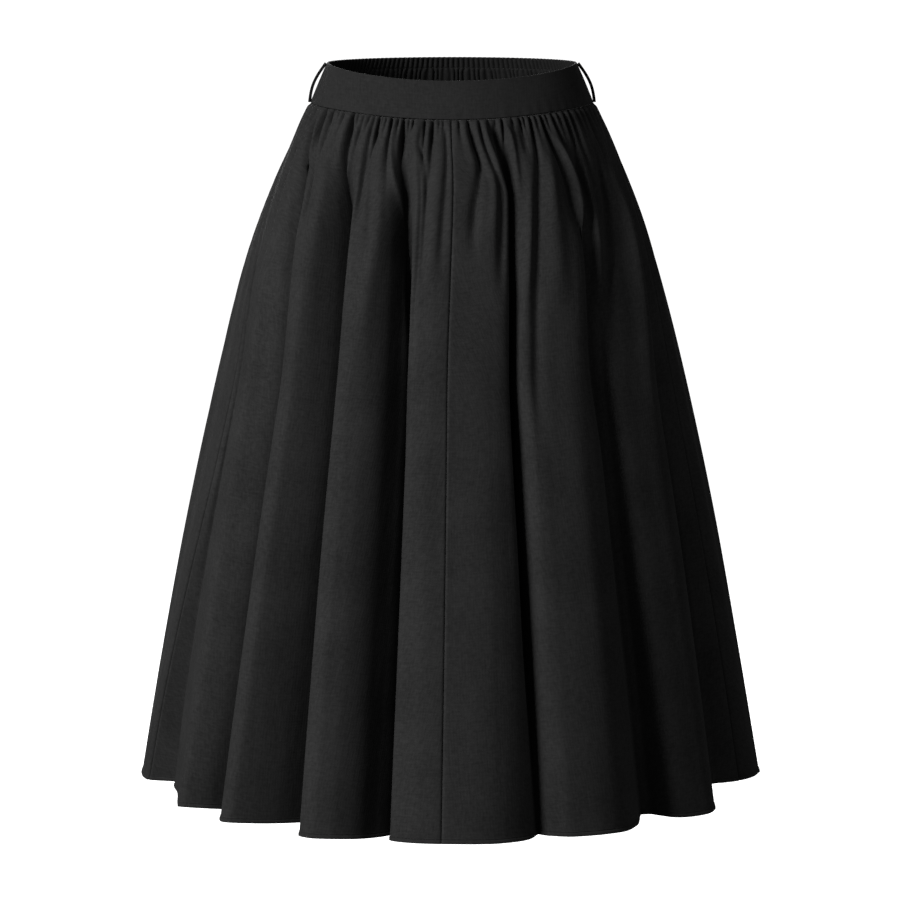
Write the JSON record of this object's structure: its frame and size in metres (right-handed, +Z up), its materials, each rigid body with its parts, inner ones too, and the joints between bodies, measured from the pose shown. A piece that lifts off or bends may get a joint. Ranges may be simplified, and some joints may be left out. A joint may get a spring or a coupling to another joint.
{
  "type": "midi skirt",
  "caption": "Gathered midi skirt with a flat front waistband, an elastic back waistband, side belt loops and flared panels that hang in deep folds.",
  "frame": {"origin": "middle of the waist opening, half way up the waistband at its sides, where the wearer holds the skirt up", "axes": "+Z up, -Y to the front of the skirt, +X to the wearer's left"},
  "size_m": [0.6324, 0.5605, 0.7306],
  "materials": {
    "skirt_cloth": "matte plain weave cotton with a slight slub",
    "band_cloth": "matte plain weave cotton over interfacing",
    "casing_cloth": "matte plain weave cotton drawn up on elastic",
    "loop_cloth": "matte plain weave cotton, folded strip"
  },
  "bodies": {
    "root": {"front_panel_right": "skirt_cloth", "front_panel_left": "skirt_cloth", "back_panel": "skirt_cloth", "front_waistband": "band_cloth", "back_waistband": "casing_cloth", "belt_loop_right": "loop_cloth", "belt_loop_left": "loop_cloth"}
  },
  "joints": []
}
